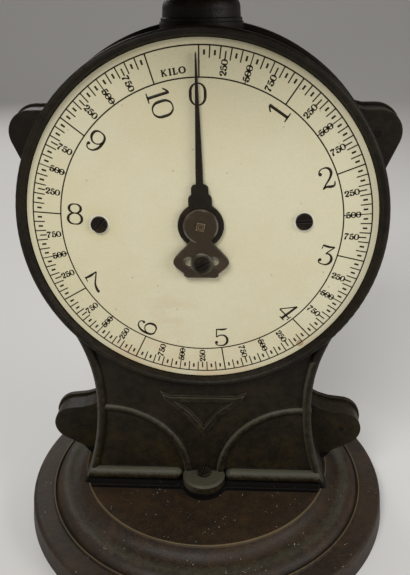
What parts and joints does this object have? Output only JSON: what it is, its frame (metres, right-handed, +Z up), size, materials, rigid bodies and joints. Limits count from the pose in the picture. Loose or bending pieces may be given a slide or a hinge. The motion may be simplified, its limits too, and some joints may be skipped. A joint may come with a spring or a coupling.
{
  "type": "spring dial kitchen scale",
  "caption": "Free-standing spring dial scale with a round foot, cast case, large round dial, pointer set to zero by a clamp screw, and a goods plate on a sliding stem.",
  "frame": {"origin": "centre of the foot on the surface it stands on", "axes": "+Z up along the stem, the dial faces -Y, +X to the right as seen from the front"},
  "size_m": [0.2242, 0.2242, 0.3341],
  "materials": {
    "black_iron": "worn semi-gloss black-brown paint on cast iron",
    "black_steel": "blackened steel, slightly worn",
    "enamel": "aged cream enamel with printed black scale",
    "brown_steel": "browned, lightly rusted steel",
    "steel": "bright drawn steel, oiled",
    "brass": "machined brass, slightly tarnished"
  },
  "bodies": {
    "case": {"base_foot": "black_iron", "case_front": "black_iron", "case_back": "black_iron", "case_screws": "brown_steel", "base_screws": "brown_steel", "dial_plate": "enamel", "dial_screws": "brown_steel", "stem_collar": "black_iron", "collar_nut": "brass", "movement_bridge": "brass", "bridge_screws": "steel", "front_bush": "brass", "rear_bush": "brass", "spring_hanger": "brown_steel", "hanger_screws": "steel", "upper_spring_hooks": "steel", "spring_left": "steel", "spring_right": "steel", "stay_bracket": "brown_steel", "bracket_screws": "steel", "stay_pin": "steel"},
    "load": {"goods_plate": "black_iron", "load_stem": "steel", "stem_pin": "steel", "crosshead": "brown_steel", "crosshead_pin": "steel", "lower_spring_hooks": "steel", "rack": "steel", "rack_stud": "steel", "rack_keeper": "brass", "stem_fork": "brown_steel", "fork_pin": "steel"},
    "arbor": {"pinion_arbor": "steel", "pinion": "brass", "boss_plate": "brown_steel"},
    "pointer": {"pointer": "black_steel", "clamp_screw": "brown_steel", "clamp_washer": "brown_steel"},
    "stay": {"stay_link": "steel"}
  },
  "joints": [
    {"name": "load_slide", "type": "slide", "parent": "case", "child": "load", "axis": [0, 0, -1], "range_m": [0, 0.02514], "stiffness_N_per_m": 3900, "springref_m": -0.0035, "deforming": ["spring_left", "spring_right"]},
    {"name": "pointer_arbor", "type": "hinge", "parent": "case", "child": "arbor", "pos_m": [0, 0, 0.19], "axis": [0, 1, 0], "range_deg": [0, 343]},
    {"name": "zero_set", "type": "hinge", "parent": "arbor", "child": "pointer", "pos_m": [0, 0, 0.19], "axis": [0, 1, 0], "range_deg": [-18, 18]},
    {"name": "stay_swing", "type": "hinge", "parent": "case", "child": "stay", "pos_m": [-0.04425, 0, 0.06243], "axis": [0, 1, 0], "range_deg": [0, 31.92]}
  ],
  "couplings": [
    {"joint": "pointer_arbor", "follows": "load_slide", "rad_per_m": 238.1},
    {"joint": "stay_swing", "follows": "load_slide", "rad_per_m": 22.019}
  ]
}
